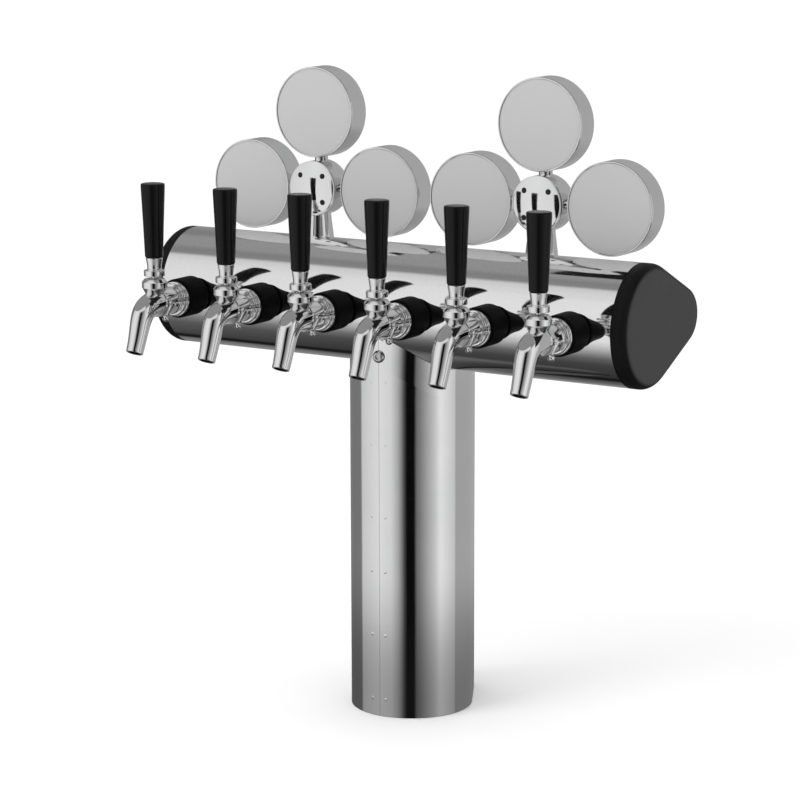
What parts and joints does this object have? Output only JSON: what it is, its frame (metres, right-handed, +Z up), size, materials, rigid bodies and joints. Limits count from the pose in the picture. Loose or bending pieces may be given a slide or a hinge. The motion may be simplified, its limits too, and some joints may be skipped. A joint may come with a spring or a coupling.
{
  "type": "beer tap tower",
  "caption": "Beer tower: a round-fronted cross beam on a matching column, a row of lever taps with tapered handles on its front and round medallions on posts above.",
  "frame": {"origin": "on the counter, under the axis of the beam's round front and midway between the third and fourth taps", "axes": "+X along the beam to the right as seen by the person pouring, +Y to the back, away from the taps, +Z up"},
  "size_m": [0.5672, 0.2804, 0.6626],
  "materials": {
    "polished_steel": "mirror polished stainless steel sheet and chromed castings",
    "plain_steel": "turned and plain stainless steel",
    "cap_plastic": "charcoal moulded plastic, fine matt texture",
    "collar_rubber": "matt black",
    "handle_gloss": "gloss black",
    "medallion_face": "satin translucent lens in a bright can",
    "valve_brass": "turned"
  },
  "bodies": {
    "tower": {"beam": "polished_steel", "end_cap_left": "cap_plastic", "end_cap_right": "cap_plastic", "column": "polished_steel", "base_flange": "plain_steel", "joint_screw": "plain_steel", "shank_1": "plain_steel", "shank_collar_1": "collar_rubber", "faucet_body_1": "polished_steel", "shank_2": "plain_steel", "shank_collar_2": "collar_rubber", "faucet_body_2": "polished_steel", "shank_3": "plain_steel", "shank_collar_3": "collar_rubber", "faucet_body_3": "polished_steel", "shank_4": "plain_steel", "shank_collar_4": "collar_rubber", "faucet_body_4": "polished_steel", "shank_5": "plain_steel", "shank_collar_5": "collar_rubber", "faucet_body_5": "polished_steel", "shank_6": "plain_steel", "shank_collar_6": "collar_rubber", "faucet_body_6": "polished_steel", "post_left": "polished_steel", "hub_left": "polished_steel", "hub_plate_left": "polished_steel", "badge_1": "medallion_face", "badge_2": "medallion_face", "badge_3": "medallion_face", "post_right": "polished_steel", "hub_right": "polished_steel", "hub_plate_right": "polished_steel", "badge_4": "medallion_face", "badge_5": "medallion_face", "badge_6": "medallion_face"},
    "lever_1": {"lever_1": "polished_steel", "handle_1": "handle_gloss"},
    "shuttle_1": {"shuttle_1": "valve_brass"},
    "flow_1": {"flow_lever_1": "polished_steel"},
    "lever_2": {"lever_2": "polished_steel", "handle_2": "handle_gloss"},
    "shuttle_2": {"shuttle_2": "valve_brass"},
    "flow_2": {"flow_lever_2": "polished_steel"},
    "lever_3": {"lever_3": "polished_steel", "handle_3": "handle_gloss"},
    "shuttle_3": {"shuttle_3": "valve_brass"},
    "flow_3": {"flow_lever_3": "polished_steel"},
    "lever_4": {"lever_4": "polished_steel", "handle_4": "handle_gloss"},
    "shuttle_4": {"shuttle_4": "valve_brass"},
    "flow_4": {"flow_lever_4": "polished_steel"},
    "lever_5": {"lever_5": "polished_steel", "handle_5": "handle_gloss"},
    "shuttle_5": {"shuttle_5": "valve_brass"},
    "flow_5": {"flow_lever_5": "polished_steel"},
    "lever_6": {"lever_6": "polished_steel", "handle_6": "handle_gloss"},
    "shuttle_6": {"shuttle_6": "valve_brass"},
    "flow_6": {"flow_lever_6": "polished_steel"}
  },
  "joints": [
    {"name": "tap_1_pull", "type": "hinge", "parent": "tower", "child": "lever_1", "pos_m": [-0.225, -0.131, 0.443], "axis": [1, 0, 0], "range_deg": [0, 22]},
    {"name": "tap_1_shuttle", "type": "slide", "parent": "tower", "child": "shuttle_1", "axis": [0, 1, 0], "range_m": [0, 0.0062]},
    {"name": "tap_1_flow", "type": "hinge", "parent": "tower", "child": "flow_1", "pos_m": [-0.2083, -0.123, 0.427], "axis": [1, 0, 0], "range_deg": [-50, 15]},
    {"name": "tap_2_pull", "type": "hinge", "parent": "tower", "child": "lever_2", "pos_m": [-0.135, -0.131, 0.443], "axis": [1, 0, 0], "range_deg": [0, 22]},
    {"name": "tap_2_shuttle", "type": "slide", "parent": "tower", "child": "shuttle_2", "axis": [0, 1, 0], "range_m": [0, 0.0062]},
    {"name": "tap_2_flow", "type": "hinge", "parent": "tower", "child": "flow_2", "pos_m": [-0.1183, -0.123, 0.427], "axis": [1, 0, 0], "range_deg": [-50, 15]},
    {"name": "tap_3_pull", "type": "hinge", "parent": "tower", "child": "lever_3", "pos_m": [-0.045, -0.131, 0.443], "axis": [1, 0, 0], "range_deg": [0, 22]},
    {"name": "tap_3_shuttle", "type": "slide", "parent": "tower", "child": "shuttle_3", "axis": [0, 1, 0], "range_m": [0, 0.0062]},
    {"name": "tap_3_flow", "type": "hinge", "parent": "tower", "child": "flow_3", "pos_m": [-0.0283, -0.123, 0.427], "axis": [1, 0, 0], "range_deg": [-50, 15]},
    {"name": "tap_4_pull", "type": "hinge", "parent": "tower", "child": "lever_4", "pos_m": [0.045, -0.131, 0.443], "axis": [1, 0, 0], "range_deg": [0, 22]},
    {"name": "tap_4_shuttle", "type": "slide", "parent": "tower", "child": "shuttle_4", "axis": [0, 1, 0], "range_m": [0, 0.0062]},
    {"name": "tap_4_flow", "type": "hinge", "parent": "tower", "child": "flow_4", "pos_m": [0.0617, -0.123, 0.427], "axis": [1, 0, 0], "range_deg": [-50, 15]},
    {"name": "tap_5_pull", "type": "hinge", "parent": "tower", "child": "lever_5", "pos_m": [0.135, -0.131, 0.443], "axis": [1, 0, 0], "range_deg": [0, 22]},
    {"name": "tap_5_shuttle", "type": "slide", "parent": "tower", "child": "shuttle_5", "axis": [0, 1, 0], "range_m": [0, 0.0062]},
    {"name": "tap_5_flow", "type": "hinge", "parent": "tower", "child": "flow_5", "pos_m": [0.1517, -0.123, 0.427], "axis": [1, 0, 0], "range_deg": [-50, 15]},
    {"name": "tap_6_pull", "type": "hinge", "parent": "tower", "child": "lever_6", "pos_m": [0.225, -0.131, 0.443], "axis": [1, 0, 0], "range_deg": [0, 22]},
    {"name": "tap_6_shuttle", "type": "slide", "parent": "tower", "child": "shuttle_6", "axis": [0, 1, 0], "range_m": [0, 0.0062]},
    {"name": "tap_6_flow", "type": "hinge", "parent": "tower", "child": "flow_6", "pos_m": [0.2417, -0.123, 0.427], "axis": [1, 0, 0], "range_deg": [-50, 15]}
  ],
  "couplings": [
    {"joint": "tap_1_shuttle", "follows": "tap_1_pull", "m_per_rad": 0.0156},
    {"joint": "tap_2_shuttle", "follows": "tap_2_pull", "m_per_rad": 0.0156},
    {"joint": "tap_3_shuttle", "follows": "tap_3_pull", "m_per_rad": 0.0156},
    {"joint": "tap_4_shuttle", "follows": "tap_4_pull", "m_per_rad": 0.0156},
    {"joint": "tap_5_shuttle", "follows": "tap_5_pull", "m_per_rad": 0.0156},
    {"joint": "tap_6_shuttle", "follows": "tap_6_pull", "m_per_rad": 0.0156}
  ]
}
